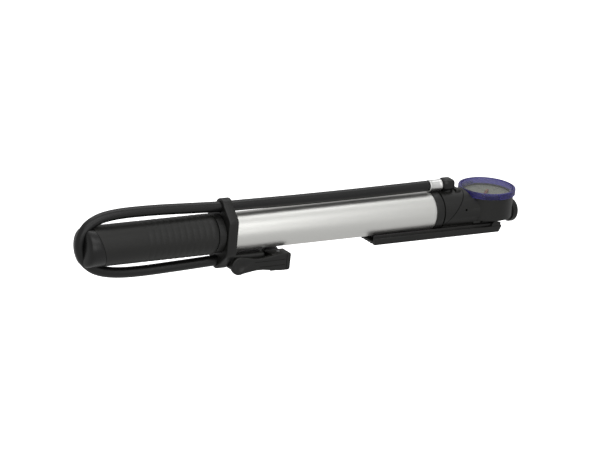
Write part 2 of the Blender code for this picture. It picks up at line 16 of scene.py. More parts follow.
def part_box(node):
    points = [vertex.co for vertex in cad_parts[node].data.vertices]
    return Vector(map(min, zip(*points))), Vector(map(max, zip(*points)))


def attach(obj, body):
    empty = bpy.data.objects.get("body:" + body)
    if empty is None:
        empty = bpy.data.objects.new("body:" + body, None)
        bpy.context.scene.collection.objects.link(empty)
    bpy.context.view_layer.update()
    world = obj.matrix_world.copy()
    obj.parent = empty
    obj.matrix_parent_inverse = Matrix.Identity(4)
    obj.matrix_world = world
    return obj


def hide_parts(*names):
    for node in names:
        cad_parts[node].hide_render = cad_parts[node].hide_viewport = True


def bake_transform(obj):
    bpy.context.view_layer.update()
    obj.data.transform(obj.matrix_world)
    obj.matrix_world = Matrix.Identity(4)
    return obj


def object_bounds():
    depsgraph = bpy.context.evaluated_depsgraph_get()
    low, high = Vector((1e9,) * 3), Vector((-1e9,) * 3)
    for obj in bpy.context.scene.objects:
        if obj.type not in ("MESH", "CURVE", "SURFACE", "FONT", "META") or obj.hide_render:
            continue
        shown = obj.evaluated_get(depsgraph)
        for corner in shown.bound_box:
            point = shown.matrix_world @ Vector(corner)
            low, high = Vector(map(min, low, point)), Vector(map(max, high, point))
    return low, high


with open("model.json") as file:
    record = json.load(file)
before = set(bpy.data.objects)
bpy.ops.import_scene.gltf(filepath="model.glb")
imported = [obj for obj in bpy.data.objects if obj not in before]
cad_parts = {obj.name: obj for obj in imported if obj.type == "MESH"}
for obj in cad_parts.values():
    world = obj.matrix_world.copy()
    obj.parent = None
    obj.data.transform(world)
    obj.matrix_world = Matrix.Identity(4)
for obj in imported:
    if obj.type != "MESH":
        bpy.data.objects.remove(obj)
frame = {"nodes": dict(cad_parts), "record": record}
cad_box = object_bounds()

MM = 0.001

# %% [markdown]
# Every turned piece of the pump shares one axis: the barrel's. Its height and its ends come from the
# barrel's own box, and so do the other stations along the pump, so nothing here is guessed twice.

# %% Where things are
barrel_low, barrel_high = (Vector(corner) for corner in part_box("barrel_tube"))
AXIS_Z = (barrel_low.z + barrel_high.z) / 2
BARREL_R = (barrel_high.z - barrel_low.z) / 2


def box_of(node):
    low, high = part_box(node)
    return Vector(low), Vector(high)


def middle(node):
    low, high = box_of(node)
    return (low + high) / 2


print("barrel axis height %.1f mm, radius %.1f mm" % (AXIS_Z / MM, BARREL_R / MM))

# %% [markdown]
# ## Camera and light
#
# The pump is seen from the handle's side, a little from above, through a long lens that keeps its
# outline almost parallel. It leans slightly in the frame because it lies on its valve head, which is
# thicker than its foot.

# %% The camera
CAMERA_AZIMUTH, CAMERA_ELEVATION, CAMERA_ROLL = math.radians(33), math.radians(18), math.radians(5.15)
VIEW_WIDTH = 0.3692            # what the frame is wide at the pump
DISTANCE = 4.0
toward = Vector((-math.sin(CAMERA_AZIMUTH) * math.cos(CAMERA_ELEVATION),
                 -math.cos(CAMERA_AZIMUTH) * math.cos(CAMERA_ELEVATION), math.sin(CAMERA_ELEVATION)))
level = Vector((0, 0, 1)).cross(toward).normalized()
upright = toward.cross(level)
right = level * math.cos(CAMERA_ROLL) + upright * math.sin(CAMERA_ROLL)
over = toward.cross(right)
pump_middle = (Vector(cad_box[0]) + Vector(cad_box[1])) / 2
aim = Vector((pump_middle.x, 0, AXIS_Z)) + right * 0.0007 - over * 0.0005

camera_data = bpy.data.cameras.new("camera")
camera_data.sensor_width = 36
camera_data.lens = camera_data.sensor_width * DISTANCE / VIEW_WIDTH
camera_data.clip_end = 50
camera = bpy.data.objects.new("camera", camera_data)
bpy.context.scene.collection.objects.link(camera)
turn = Matrix((right, over, toward)).transposed().to_4x4()
camera.matrix_world = Matrix.Translation(aim + toward * DISTANCE) @ turn
bpy.context.scene.camera = camera
print("camera lens %.0f mm" % camera_data.lens)

# %% [markdown]
# A product is lit with large soft boxes in a white room. The dull black plastic then shows its round
# forms as broad grey bands, and the metal barrel gets one bright band with soft shoulders. The floor
# lies as low as the unfolded foot reaches.


# %% The light and the floor
def soft_box(name, place, target, size, power):
    light = bpy.data.lights.new(name, "AREA")
    light.shape = "RECTANGLE"
    light.size, light.size_y = size
    light.energy = power
    lamp = bpy.data.objects.new(name, light)
    bpy.context.scene.collection.objects.link(lamp)
    lamp.location = place
    lamp.rotation_euler = (Vector(target) - Vector(place)).to_track_quat("-Z", "Y").to_euler()
    return lamp


soft_box("key", (-0.25, -0.75, 0.95), (0, 0, 0), (1.8, 0.6), 4.5)
soft_box("front_fill", (-0.4, -1.4, 0.40), (0, 0, 0), (2.2, 0.7), 6)
soft_box("overhead", (0.1, 0.45, 1.3), (0, 0, 0), (1.6, 0.5), 4)

world = bpy.data.worlds.new("white_room")
world.use_nodes = True
world_tree = world.node_tree
sky = world_tree.nodes.new("ShaderNodeTexCoord")
height = world_tree.nodes.new("ShaderNodeSeparateXYZ")
room = world_tree.nodes.new("ShaderNodeValToRGB")
room.color_ramp.elements[0].color = (0.66, 0.66, 0.66, 1)
room.color_ramp.elements[1].color = (0.90, 0.90, 0.90, 1)
for position, grey in ((0.25, 0.56), (0.55, 0.62)):
    room.color_ramp.elements.new(position).color = (grey, grey, grey, 1)
world_tree.links.new(sky.outputs["Generated"], height.inputs["Vector"])
world_tree.links.new(height.outputs["Z"], room.inputs["Fac"])
world_tree.links.new(room.outputs["Color"], world_tree.nodes["Background"].inputs["Color"])
world_tree.nodes["Background"].inputs["Strength"].default_value = 0.8
bpy.context.scene.world = world
bpy.context.scene.view_settings.view_transform = "Standard"

FLOOR_Z = -0.10
bm = bmesh.new()
bmesh.ops.create_grid(bm, x_segments=1, y_segments=1, size=12)
floor_mesh = bpy.data.meshes.new("floor")
bm.to_mesh(floor_mesh)
bm.free()
floor = bpy.data.objects.new("floor", floor_mesh)
floor.location.z = FLOOR_Z
floor.visible_glossy = False
floor.visible_diffuse = False
floor.visible_transmission = False
bpy.context.scene.collection.objects.link(floor)
paper = bpy.data.materials.new("white_paper")
paper.use_nodes = True
paper_shader = paper.node_tree.nodes["Principled BSDF"]
paper_shader.inputs["Base Color"].default_value = (0.92, 0.92, 0.92, 1)
paper_shader.inputs["Roughness"].default_value = 0.9
paper_shader.inputs["Emission Color"].default_value = (1, 1, 1, 1)
paper_shader.inputs["Emission Strength"].default_value = 0.9
floor_mesh.materials.append(paper)

# %% [markdown]
# ## Finishes
#
# A moulded plastic is never one flat colour: the mould leaves a fine grain, and the gloss changes a
# little where the plastic cooled slower. Each finish below has its own grain, laid in the piece's own
# coordinates so that it stays on the piece when it moves.


# %% A finish with grain
def finish(name, colour, roughness, metallic=0.0, grain=0.25, relief=0.04, vary=0.12, gloss_vary=0.10,
           stretch=(1, 1, 1), coat=0.0, specular=0.5):
    """A Principled material: fine grain of that size in mm, and slow drifts of tone and gloss."""
    mat = bpy.data.materials.new(name)
    mat.use_nodes = True
    tree = mat.node_tree
    shader = tree.nodes["Principled BSDF"]
    shader.inputs["Metallic"].default_value = metallic
    shader.inputs["Coat Weight"].default_value = coat
    shader.inputs["Coat Roughness"].default_value = 0.15
    shader.inputs["Specular IOR Level"].default_value = specular
    where = tree.nodes.new("ShaderNodeTexCoord")
    scale = tree.nodes.new("ShaderNodeMapping")
    scale.inputs["Scale"].default_value = stretch
    tree.links.new(where.outputs["Object"], scale.inputs["Vector"])
    fine = tree.nodes.new("ShaderNodeTexNoise")
    fine.inputs["Scale"].default_value = 1 / (grain * MM)
    fine.inputs["Detail"].default_value = 3
    slow = tree.nodes.new("ShaderNodeTexNoise")
    slow.inputs["Scale"].default_value = 60
    slow.inputs["Detail"].default_value = 4
    for noise in (fine, slow):
        tree.links.new(scale.outputs["Vector"], noise.inputs["Vector"])
    tone = tree.nodes.new("ShaderNodeValToRGB")
    for stop, factor in zip(tone.color_ramp.elements, (1 - vary, 1 + vary)):
        stop.color = (*[min(1, part * factor) for part in colour], 1)
    tone.color_ramp.elements[0].position = 0.35
    tone.color_ramp.elements[1].position = 0.65
    mixed = tree.nodes.new("ShaderNodeMath")
    mixed.operation = "MULTIPLY_ADD"
    mixed.inputs[1].default_value = 0.5
    tree.links.new(fine.outputs["Fac"], mixed.inputs[0])
    half = tree.nodes.new("ShaderNodeMath")
    half.operation = "MULTIPLY"
    half.inputs[1].default_value = 0.5
    tree.links.new(slow.outputs["Fac"], half.inputs[0])
    tree.links.new(half.outputs[0], mixed.inputs[2])
    tree.links.new(mixed.outputs[0], tone.inputs["Fac"])
    tree.links.new(tone.outputs["Color"], shader.inputs["Base Color"])
    gloss = tree.nodes.new("ShaderNodeMapRange")
    gloss.inputs["From Min"].default_value = 0.3
    gloss.inputs["From Max"].default_value = 0.7
    gloss.inputs["To Min"].default_value = roughness - gloss_vary / 2
    gloss.inputs["To Max"].default_value = roughness + gloss_vary / 2
    tree.links.new(mixed.outputs[0], gloss.inputs["Value"])
    tree.links.new(gloss.outputs["Result"], shader.inputs["Roughness"])
    bump = tree.nodes.new("ShaderNodeBump")
    bump.inputs["Strength"].default_value = 0.6
    bump.inputs["Distance"].default_value = relief * MM
    tree.links.new(fine.outputs["Fac"], bump.inputs["Height"])
    tree.links.new(bump.outputs["Normal"], shader.inputs["Normal"])
    return mat


nylon = finish("moulded_nylon", (0.0085, 0.0085, 0.0078), 0.42, grain=0.35, relief=0.03, specular=0.4)
gloss_nylon = finish("smooth_nylon", (0.007, 0.007, 0.007), 0.30, grain=0.6, relief=0.004,
                     specular=0.4)
rubber = finish("grip_rubber", (0.0105, 0.0105, 0.0095), 0.50, grain=0.30, relief=0.05,
                specular=0.4)
hose_rubber = finish("hose_rubber", (0.006, 0.006, 0.006), 0.34, grain=0.5, relief=0.015,
                     stretch=(0.15, 1, 1), specular=0.4)
barrel_metal = finish("drawn_aluminium", (0.84, 0.84, 0.81), 0.43, 1.0, grain=0.12, relief=0.004,
                      vary=0.03, gloss_vary=0.08, stretch=(0.03, 1, 1))
bright_metal = finish("turned_aluminium", (0.84, 0.84, 0.83), 0.34, 1.0, grain=0.12, relief=0.003,
                      vary=0.03, gloss_vary=0.06, stretch=(1, 0.05, 0.05))
steel = finish("satin_steel", (0.50, 0.51, 0.53), 0.30, 1.0, grain=0.15, relief=0.004, vary=0.05)
brass = finish("machined_brass", (0.72, 0.52, 0.22), 0.30, 1.0, grain=0.2, relief=0.004, vary=0.06)
seal = finish("greased_rubber", (0.008, 0.008, 0.008), 0.45, grain=0.2, relief=0.02)
dial_paint = finish("dial_paint", (0.19, 0.20, 0.16), 0.55, grain=0.3, relief=0.004, vary=0.05)
red_paint = finish("red_paint", (0.13, 0.015, 0.012), 0.40, grain=0.3, relief=0.004, vary=0.08)
ink = finish("dial_ink", (0.03, 0.03, 0.03), 0.50, grain=0.3, relief=0.002, vary=0.1)
print("finishes:", len(bpy.data.materials))

# %% [markdown]
# The gauge's cap is clear plastic dyed blue-violet. Half of the light passes through it and half is
# scattered by the dye. Its lens is the same plastic left clear, and so thin that only its surface
# shows, as a faint sheen over the dial.

# %% Clear plastics
blue_plastic = finish("blue_clear_plastic", (0.095, 0.08, 0.43), 0.26, grain=1.5, relief=0.004,
                      vary=0.04, gloss_vary=0.03, specular=0.15)
thick_blue = finish("thick_blue_plastic", (0.012, 0.010, 0.16), 0.20, grain=1.5, relief=0.004,
                    vary=0.04, gloss_vary=0.03)
for mat, share in ((blue_plastic, 0.90), (thick_blue, 0.2)):
    shader = mat.node_tree.nodes["Principled BSDF"]
    shader.inputs["Transmission Weight"].default_value = share
    shader.inputs["IOR"].default_value = 1.46
lens_plastic = finish("clear_plastic", (0.45, 0.46, 0.44), 0.16, grain=1.5, relief=0.003,
                      vary=0.03, gloss_vary=0.03, specular=0.3)
lens_plastic.node_tree.nodes["Principled BSDF"].inputs["Alpha"].default_value = 0.10

# %% [markdown]
# The pieces inside keep their own meshes: they are machined or moulded plainly, and only their
# material is missing. Each gets the finish of its record slot.

# %% Finishes for the pieces that stay
SLOT_FINISH = {"satin_aluminium": barrel_metal, "polished_aluminium": bright_metal, "steel": steel,
               "brass": brass, "black_nylon": nylon, "black_gloss": gloss_nylon,
               "grip_rubber": rubber, "hose_rubber": hose_rubber, "seal_rubber": seal,
               "blue_clear": blue_plastic, "lens_clear": lens_plastic, "dial_grey": dial_paint,
               "needle_red": red_paint}
slot_of = {entry["node"]: entry["material_slot"] for entry in frame["record"]["subparts"]}
for node, obj in frame["nodes"].items():
    obj.data.materials.clear()
    obj.data.materials.append(SLOT_FINISH[slot_of[node]])

# %% [markdown]
# ## Making meshes
#
# A pump is mostly turned pieces. `lathe` spins a profile of (along, radius) points round X, with the
# small roundings already in the profile. `settle` gives a piece its finish, its shading and its body.


# %% Helpers for pieces
def new_piece(name, bm, merge=0.00001):
    bmesh.ops.remove_doubles(bm, verts=bm.verts, dist=merge)
    bmesh.ops.recalc_face_normals(bm, faces=bm.faces)
    mesh = bpy.data.meshes.new(name)
    bm.to_mesh(mesh)
    bm.free()
    obj = bpy.data.objects.new(name, mesh)
    bpy.context.scene.collection.objects.link(obj)
    return obj


def lathe(name, profile, centre=None, axis="X", steps=96):
    """Spins a closed profile in metres: along the axis, and out from it."""
    bm = bmesh.new()
    rings = []
    for i in range(steps):
        angle = math.tau * i / steps
        rings.append([bm.verts.new((along, radius * math.cos(angle), radius * math.sin(angle)))
                      for along, radius in profile])
    count = len(profile)
    for ring, following in zip(rings, rings[1:] + rings[:1]):
        for j in range(count):
            k = (j + 1) % count
            if max(profile[j][1], profile[k][1]) < 1e-7:
                continue
            corners = [ring[j], ring[k], following[k], following[j]]
            bm.faces.new(corners)
    bmesh.ops.remove_doubles(bm, verts=bm.verts, dist=0.000001)
    bmesh.ops.dissolve_degenerate(bm, edges=bm.edges, dist=0.000001)
    if axis == "Z":
        bmesh.ops.rotate(bm, verts=bm.verts, matrix=Matrix.Rotation(-math.pi / 2, 3, "Y"))
    if axis == "Y":
        bmesh.ops.rotate(bm, verts=bm.verts, matrix=Matrix.Rotation(math.pi / 2, 3, "Z"))
    bmesh.ops.translate(bm, verts=bm.verts, vec=centre or (0, 0, AXIS_Z))
    return new_piece(name, bm, 0.000001)


def rounded(profile, size, steps=4):
    """The same closed profile with each corner rounded off by up to size."""
    points = [Vector(p) for p in profile]
    made = []
    for before, here, after in zip(points[-1:] + points[:-1], points, points[1:] + points[:1]):
        if here.y < 1e-7:
            made.append(tuple(here))
            continue
        reach = min(size, (before - here).length * 0.45, (after - here).length * 0.45)
        start = here + (before - here).normalized() * reach
        end = here + (after - here).normalized() * reach
        for i in range(steps + 1):
            t = i / steps
            made.append(tuple(start * (1 - t) ** 2 + here * 2 * t * (1 - t) + end * t ** 2))
    return made


def settle(obj, mat, body, *nodes, smooth=40):
    """The piece's finish and shading, the body it rides on and the nodes it stands for."""
    obj.data.materials.clear()
    obj.data.materials.append(mat)
    obj.data.shade_smooth()
    obj.data.set_sharp_from_angle(angle=math.radians(smooth))
    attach(obj, body)
    if nodes:
        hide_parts(*nodes)
    print("%s: %d faces" % (obj.name, len(obj.data.polygons)))
    return obj


def bake(obj):
    """Applies a piece's modifiers and keeps the result as its mesh."""
    bpy.context.view_layer.update()
    done = bpy.data.meshes.new_from_object(obj.evaluated_get(bpy.context.evaluated_depsgraph_get()))
    obj.modifiers.clear()
    obj.data = done
    return obj


# %% [markdown]
# Thick moulded pieces, such as the head, are several plain solids run together with soft fillets
# between them. `fuse` remeshes a heap of overlapping solids into one skin and smooths it, which is
# where the fillets come from.


# %% Solids and fused castings
REACH = 0.03                   # cutters go this far past the pump's sides


def solid_box(bm, low, high, round_by=0.0):
    made = bmesh.ops.create_cube(bm, size=1)["verts"]
    size = [b - a for a, b in zip(low, high)]
    bmesh.ops.scale(bm, vec=size, verts=made)
    bmesh.ops.translate(bm, vec=[(a + b) / 2 for a, b in zip(low, high)], verts=made)
    if round_by:
        edges = list({edge for vert in made for edge in vert.link_edges})
        bmesh.ops.bevel(bm, geom=edges, offset=round_by, segments=4, profile=0.5, affect="EDGES",
                        clamp_overlap=True)


def solid_rod(bm, axis, radius, start, end, centre, sides=64, end_radius=None):
    made = bmesh.ops.create_cone(bm, cap_ends=True, segments=sides, radius1=radius,
                                 radius2=end_radius or radius, depth=end - start)["verts"]
    if axis == "X":
        bmesh.ops.rotate(bm, verts=made, matrix=Matrix.Rotation(math.pi / 2, 3, "Y"))
    if axis == "Y":
        bmesh.ops.rotate(bm, verts=made, matrix=Matrix.Rotation(-math.pi / 2, 3, "X"))
    place = list(centre)
    place.insert("XYZ".index(axis), (start + end) / 2)
    bmesh.ops.translate(bm, verts=made, vec=place)


def shape(name, *solids):
    """An object of loose overlapping solids, each given as a function of a bmesh."""
    bm = bmesh.new()
    for make in solids:
        make(bm)
    mesh = bpy.data.meshes.new(name)
    bm.to_mesh(mesh)
    bm.free()
    obj = bpy.data.objects.new(name, mesh)
    bpy.context.scene.collection.objects.link(obj)
    return obj


def box_solid(low, high, round_by=0.0):
    return lambda bm: solid_box(bm, low, high, round_by)


def rod_solid(axis, radius, start, end, centre, sides=64, end_radius=None):
    return lambda bm: solid_rod(bm, axis, radius, start, end, centre, sides, end_radius)


def fuse(obj, voxel=0.35, smooth=6):
    skin = obj.modifiers.new("skin", "REMESH")
    skin.mode = "VOXEL"
    skin.voxel_size = voxel * MM
    soft = obj.modifiers.new("soft", "SMOOTH")
    soft.factor = 0.5
    soft.iterations = smooth
    return bake(obj)


def trim(obj, *cutters, operation="DIFFERENCE"):
    """Booleans with other meshes, which are then thrown away."""
    for cutter in cutters:
        step = obj.modifiers.new("trim", "BOOLEAN")
        step.operation = operation
        step.solver = "EXACT"
        step.object = cutter
    bake(obj)
    for cutter in cutters:
        bpy.data.objects.remove(cutter, do_unlink=True)
    return obj


def flat_outline(name, outline, low, high, plane="XZ", round_by=0.0, segments=3):
    """A flat outline given a thickness, its rims rounded by a bevel."""
    bm = bmesh.new()
    order = {"XZ": lambda a, b, c: (a, c, b), "YZ": lambda a, b, c: (c, a, b),
             "XY": lambda a, b, c: (a, b, c)}[plane]
    base = [bm.verts.new(order(a, b, low)) for a, b in outline]
    top = [bm.verts.new(order(a, b, high)) for a, b in outline]
    lids = [bm.faces.new(base), bm.faces.new(list(reversed(top)))]
    for i in range(len(outline)):
        j = (i + 1) % len(outline)
        bm.faces.new((base[i], top[i], top[j], base[j]))
    bmesh.ops.recalc_face_normals(bm, faces=bm.faces)
    if round_by:
        rims = [edge for lid in lids for edge in lid.edges]
        bmesh.ops.bevel(bm, geom=rims, offset=round_by, segments=segments, profile=0.5,
                        affect="EDGES", clamp_overlap=True)
    return new_piece(name, bm)


def arc(centre, radius, start, end, count):
    turn = [math.radians(start + (end - start) * i / (count - 1)) for i in range(count)]
    return [(centre[0] + radius * math.cos(t), centre[1] + radius * math.sin(t)) for t in turn]


# %% [markdown]
# ## The barrel and its end ring
#
# The barrel is a drawn aluminium tube with a satin finish whose fine lines run along it. The plastic
# ring where it enters the head hides the tube's cut edge. The maker's lettering is left off.

# %% Barrel and end ring
low, high = box_of("barrel_tube")
bore = BARREL_R - 1.5 * MM
tube = rounded([(low.x, bore), (high.x, bore), (high.x, BARREL_R), (low.x, BARREL_R)], 0.3 * MM)
settle(lathe("barrel", tube, steps=160), barrel_metal, "pump_body", "barrel_tube")

low, high = box_of("end_ring")
ring_r = (high.z - low.z) / 2
ring = [(low.x, BARREL_R + 0.1 * MM), (high.x, BARREL_R + 0.1 * MM), (high.x, ring_r),
        (low.x, ring_r)]
settle(lathe("end_ring_trim", rounded(ring, 0.35 * MM), steps=128), nylon, "pump_body", "end_ring")

# %% [markdown]
# ## The hose
#
# A rubber hose of 7 mm runs from the head along the barrel, through the collar, round the handle's
# end and back to the valve head. The pump holds it all the way, so it is one tube on that route, and
# the same points lie in the solid model.

# %% Hose
HOSE_R = 3.36 * MM
ROUTE_SHIFT = (-2.55, 15.1)
HOSE_ROUTE = (
    (-1.4, 16.2), (-8.0, 16.2), (-24.0, 16.1), (-60.0, 16.0), (-100.0, 16.2), (-135.0, 16.7),
    (-149.0, 16.9), (-173.0, 18.0), (-196.0, 19.1), (-217.0, 19.4), (-229.5, 18.7), (-238.0, 16.9),
    (-244.6, 13.2), (-248.3, 7.6), (-249.2, 1.0), (-246.9, -6.2), (-241.9, -11.8), (-234.3, -15.9),
    (-222.0, -18.4), (-205.0, -19.1), (-180.0, -18.5), (-160.0, -17.8), (-149.0, -17.4),
    (-143.5, -17.4), (-140.6, -17.4),
)


def smooth_path(points, per_span):
    """A Catmull-Rom curve through points."""
    knots = [Vector(p) for p in points]
    knots = [2 * knots[0] - knots[1], *knots, 2 * knots[-1] - knots[-2]]
    fine = []
    for a, b, c, d in zip(knots, knots[1:], knots[2:], knots[3:]):
        for i in range(per_span):
            t = i / per_span
            fine.append(0.5 * (2 * b + (c - a) * t + (2 * a - 5 * b + 4 * c - d) * t ** 2
                               + (3 * b - a - 3 * c + d) * t ** 3))
    fine.append(knots[-2])
    return fine


def sweep(name, path, radius, sides=32):
    """A round tube along a path that stays in the plane Y = 0."""
    bm = bmesh.new()
    rings = []
    for i, place in enumerate(path):
        ahead = path[min(i + 1, len(path) - 1)] - path[max(i - 1, 0)]
        out = Vector((-ahead.z, 0, ahead.x)).normalized()
        rings.append([bm.verts.new(place + out * radius * math.cos(math.tau * j / sides)
                                   + Vector((0, 1, 0)) * radius * math.sin(math.tau * j / sides))
                      for j in range(sides)])
    for ring, following in zip(rings, rings[1:]):
        for j in range(sides):
            k = (j + 1) % sides
            bm.faces.new((ring[j], ring[k], following[k], following[j]))
    bm.faces.new(rings[0])
    bm.faces.new(list(reversed(rings[-1])))
    return new_piece(name, bm)


route = smooth_path([((x + ROUTE_SHIFT[0]) * MM, 0, (z + ROUTE_SHIFT[1]) * MM)
                     for x, z in HOSE_ROUTE], 8)
hose = sweep("rubber_hose", route, HOSE_R)
hose.data.materials.append(hose_rubber)
hose.data.shade_smooth()
collar_low, collar_high = box_of("hose_collar")
cap_low, cap_high = box_of("handle_cap")
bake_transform(hose)
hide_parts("hose")
length = sum((b - a).length for a, b in zip(route, route[1:]))
print("hose: %.0f mm long" % (length / MM))

# %% [markdown]
# ## The collar
#
# A moulded hoop closes the barrel's rod end. Its straight sides rise into a loop over the hose above
# and below. A flat outline with rounded rims gives it its shape, and three bores are cut through it.

# %% Collar
loop_r = 5.3 * MM
hose_top, hose_bottom = AXIS_Z + 16.9 * MM, AXIS_Z - 17.4 * MM
half = collar_high.y
side = 9.5 * MM
shoulder = [(half, side), (half - 0.2 * MM, side + 1.0 * MM), (half - 0.7 * MM, side + 2.0 * MM),
            (half - 1.5 * MM, side + 3.0 * MM)]
outline = [*[(y, AXIS_Z - z) for y, z in reversed(shoulder)], *[(y, AXIS_Z + z) for y, z in shoulder],
           *arc((0, hose_top), loop_r, 20, 160, 25),
           *[(-y, AXIS_Z + z) for y, z in reversed(shoulder)], *[(-y, AXIS_Z - z) for y, z in shoulder],
           *arc((0, hose_bottom), loop_r, 200, 340, 25)]
collar = flat_outline("collar_band", outline, collar_low.x, collar_high.x, "YZ", 0.7 * MM, 4)
bores = [shape("bore", rod_solid("X", radius, -1, 1, (0, z), 96))
         for radius, z in ((BARREL_R + 0.05 * MM, AXIS_Z), (HOSE_R + 0.15 * MM, hose_top),
                           (HOSE_R + 0.15 * MM, hose_bottom))]
settle(trim(collar, *bores), nylon, "pump_body", "hose_collar", smooth=30)

# %% [markdown]
# ## The handle
#
# The handle is a plastic core under a rubber sleeve. Fine ridges ring the sleeve where the fingers
# close, and stop before the plain part at the cap. The ridges are real turns in the profile.

# %% Grip sleeve
low, high = box_of("grip_sleeve")
GRIP_R = (high.y - low.y) / 2
RIB_COUNT, RIB_PITCH, RIB_DEPTH = 11, 4.4 * MM, 0.12 * MM
points = [(low.x, GRIP_R - 3 * MM), (high.x, GRIP_R - 3 * MM), (high.x, GRIP_R - 0.9 * MM),
          (high.x - 0.9 * MM, GRIP_R - 0.1 * MM)]
for i in range(RIB_COUNT):
    start = high.x - 4.0 * MM - RIB_PITCH * i
    for share, drop in ((0, 0), (0.10, 0.5), (0.20, 1.0), (0.32, 1.0), (0.46, 0.5), (0.60, 0.1)):
        points.append((start - RIB_PITCH * share, GRIP_R - RIB_DEPTH * drop))
points += [(high.x - 62 * MM, GRIP_R), (low.x, GRIP_R)]
grip = lathe("rubber_grip", points, steps=128)
seam_top, seam_bottom = -242.5 + ROUTE_SHIFT[0], -234.5 + ROUTE_SHIFT[0]


def beyond_seam(name, shift):
    """A slab on the cap's side of the slanting seam."""
    lean = (seam_top - seam_bottom) / (2 * GRIP_R / MM)
    centre = (seam_top + seam_bottom) / 2 + shift
    corners = [(-300, -16), (centre - lean * 16, -16), (centre + lean * 16, 16), (-300, 16)]
    return flat_outline(name, [(x * MM, z * MM + AXIS_Z) for x, z in corners], -REACH, REACH)


settle(trim(grip, beyond_seam("seam", 0.25)), rubber, "plunger", "grip_sleeve", smooth=50)

# %% [markdown]
# The cap is the rounded end of the handle. A groove across it takes the hose round the end, and its
# two cheeks keep the hose from slipping off. The seam with the rubber runs on the slant.


# %% Handle cap
def hose_groove(name, half_width, clearance):
    """All that lies outside a line just inside the hose."""
    loop = [Vector((p.x, p.z)) for p in route if p.x < -0.215]
    inside = []
    for before, here, after in zip(loop, loop[1:], loop[2:]):
        along = (after - before).normalized()
        inside.append(tuple(here + Vector((-along.y, along.x)) * (HOSE_R + clearance)))
    far = [p for p in inside if p[0] < -0.228]
    edge = -0.228
    outline = [(edge, 0.06), (-0.30, 0.06), (-0.30, -0.04), (edge, -0.04), (edge, far[-1][1]),
               *reversed(far), (edge, far[0][1])]
    return flat_outline(name, outline, -half_width, half_width)


CROWN_END, CROWN_LENGTH, CROWN_FLAT, FULLNESS = cap_low.x + 2.8 * MM, 6.0 * MM, 4.0 * MM, 0.5
crown = [(cap_high.x + 3 * MM, 0), (cap_high.x + 3 * MM, GRIP_R - 0.05 * MM)]
for i in range(17):
    angle = math.radians(90 * i / 16)
    crown.append((CROWN_END + CROWN_LENGTH * (1 - math.sin(angle) ** FULLNESS),
                  CROWN_FLAT + (GRIP_R - 0.05 * MM - CROWN_FLAT) * max(0, math.cos(angle)) ** FULLNESS))
crown.append((CROWN_END, 0))
cap = lathe("cap", crown, steps=128)
trim(cap, beyond_seam("seam", 0), operation="INTERSECT")
trim(cap, hose_groove("groove", HOSE_R + 0.25 * MM, 0.15 * MM))
edge = cap.modifiers.new("edge", "BEVEL")
edge.width = 0.45 * MM
edge.segments = 3
edge.angle_limit = math.radians(50)
bake(cap)
settle(cap, gloss_nylon, "plunger", "handle_cap")

# %% [markdown]
# ## The head
#
# The head is one casting in black nylon. A round neck leaves the barrel, a saddle under it carries
# the foot's pin, and an upright drum holds the gauge. Their meeting lines are soft, so the whole is
# fused from plain solids.

# %% Head casting
gauge = middle("gauge_lens")
drum_low, drum_high = box_of("head_body")
DRUM_R = drum_high.y
sleeve_low, sleeve_high = box_of("neck_sleeve")
pin = middle("foot_pin")
plug_low, plug_high = box_of("end_plug")
KNOB = middle("plug_seal")
OUTLET_X = 12.7 * MM + ROUTE_SHIFT[0] * MM   # where the air rises into the elbow
neck_r = 12.2 * MM
rim_z = box_of("gauge_cap")[0].z - 0.3 * MM
drum_bottom = AXIS_Z - 5.9 * MM
neck_from = sleeve_low.x - 0.4 * MM
head = shape(
    "head_casting",
    rod_solid("X", 11.2 * MM, neck_from, gauge.x - 8 * MM, (0, AXIS_Z)),
    rod_solid("Z", DRUM_R - 0.1 * MM, drum_bottom, rim_z, (gauge.x, gauge.y), 96),
    rod_solid("X", 6.4 * MM, gauge.x, plug_low.x + 10.6 * MM, (0, KNOB.z), 48),
    box_solid((sleeve_low.x, -8.8 * MM, AXIS_Z - 12.8 * MM),
              (pin.x + 2.4 * MM, 8.8 * MM, AXIS_Z - 4 * MM), 1.5 * MM),
    box_solid((28.6 * MM + ROUTE_SHIFT[0] * MM, -10.5 * MM, AXIS_Z - 8.6 * MM),
              (34.4 * MM + ROUTE_SHIFT[0] * MM, 10.5 * MM, AXIS_Z - 3 * MM), 0.8 * MM),
)
fuse(head, 0.4, 4)
neck_flare = shape("neck_flare", rod_solid("X", neck_r, sleeve_low.x, gauge.x - 7 * MM, (0, AXIS_Z),
                                           96, 12.3 * MM))
slant = 0.85                   # how far the seam runs along the neck for each unit of height
SEAM_GAP = 0.7                 # in mm, open between sleeve and casting
seam_mid = 12.9 + 0.3 + ROUTE_SHIFT[0]
front = flat_outline("front", [(x * MM, z * MM + AXIS_Z) for x, z in (
    (seam_mid - slant * 14, -14), (90, -14), (90, 14), (seam_mid + slant * 14, 14))], -REACH, REACH)
trim(neck_flare, front, operation="INTERSECT")
trim(head, neck_flare, operation="UNION")
cap_room = shape("cap_room", rod_solid("Z", 18.5 * MM, rim_z, 0.06, (gauge.x, gauge.y), 96))
cup = shape("cup", rod_solid("Z", 15.6 * MM, AXIS_Z + 0.5 * MM, 0.06, (gauge.x, gauge.y), 96))
pin_hole = shape("pin_hole", rod_solid("Y", 1.6 * MM, -REACH, REACH, (pin.x, pin.z), 32))
knob_bore = shape("knob_bore", rod_solid("X", 4.9 * MM, 0.049, 0.08, (0, KNOB.z), 48))
blow_hole = shape("blow_hole", rod_solid("Y", 0.75 * MM, -0.03, -9 * MM,
                                         (21.5 * MM + ROUTE_SHIFT[0] * MM, AXIS_Z + 2 * MM), 24))
outlet_way = shape("outlet_way", rod_solid("Z", 4.1 * MM, AXIS_Z - 0.5 * MM, 0.06,
                                           (OUTLET_X, 0), 48))
